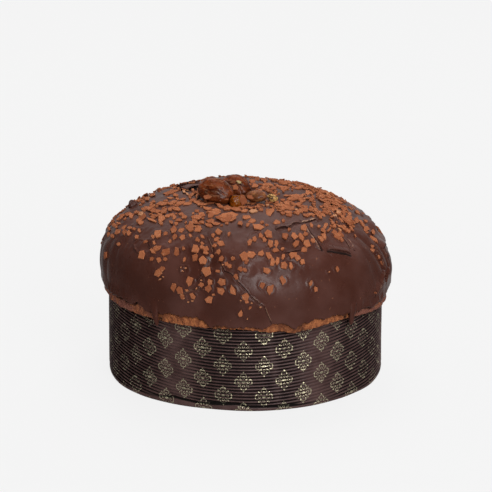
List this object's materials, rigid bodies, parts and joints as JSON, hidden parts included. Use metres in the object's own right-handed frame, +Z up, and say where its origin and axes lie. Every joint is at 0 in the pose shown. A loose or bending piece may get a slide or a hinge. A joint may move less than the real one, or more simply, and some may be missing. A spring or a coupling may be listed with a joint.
{
  "type": "chestnut panettone",
  "caption": "Low domed panettone in a ribbed brown paper case, coated in dark chocolate with milk chocolate flakes and topped with candied chestnuts.",
  "frame": {"origin": "centre of the paper case's flat foot, on the surface that it stands on", "axes": "+Z up through the crown, -Y towards the front shown in the picture, +X to the right"},
  "size_m": [0.2249, 0.2243, 0.1563],
  "materials": {
    "case_paper": "dark brown glassine-like baking paper with fine horizontal ribs and a small pale gold print",
    "gold_print": "dull pale gold ink on the ribbed paper",
    "crust": "porous orange-brown baked crust",
    "dark_chocolate": "satin dark chocolate with a soft sheen",
    "milk_chocolate": "matt milk chocolate flakes",
    "candied_chestnut": "glossy dark red-brown, sticky with syrup",
    "amber_syrup": "glossy translucent amber",
    "chestnut_crumb": "pale yellow broken chestnut"
  },
  "bodies": {
    "root": {"paper_case": "case_paper", "loaf": "crust", "chocolate_glaze": "dark_chocolate", "chestnut_left": "candied_chestnut", "chestnut_back": "candied_chestnut", "chestnut_right": "candied_chestnut", "chestnut_front": "amber_syrup", "chestnut_crumb": "chestnut_crumb"}
  },
  "joints": []
}
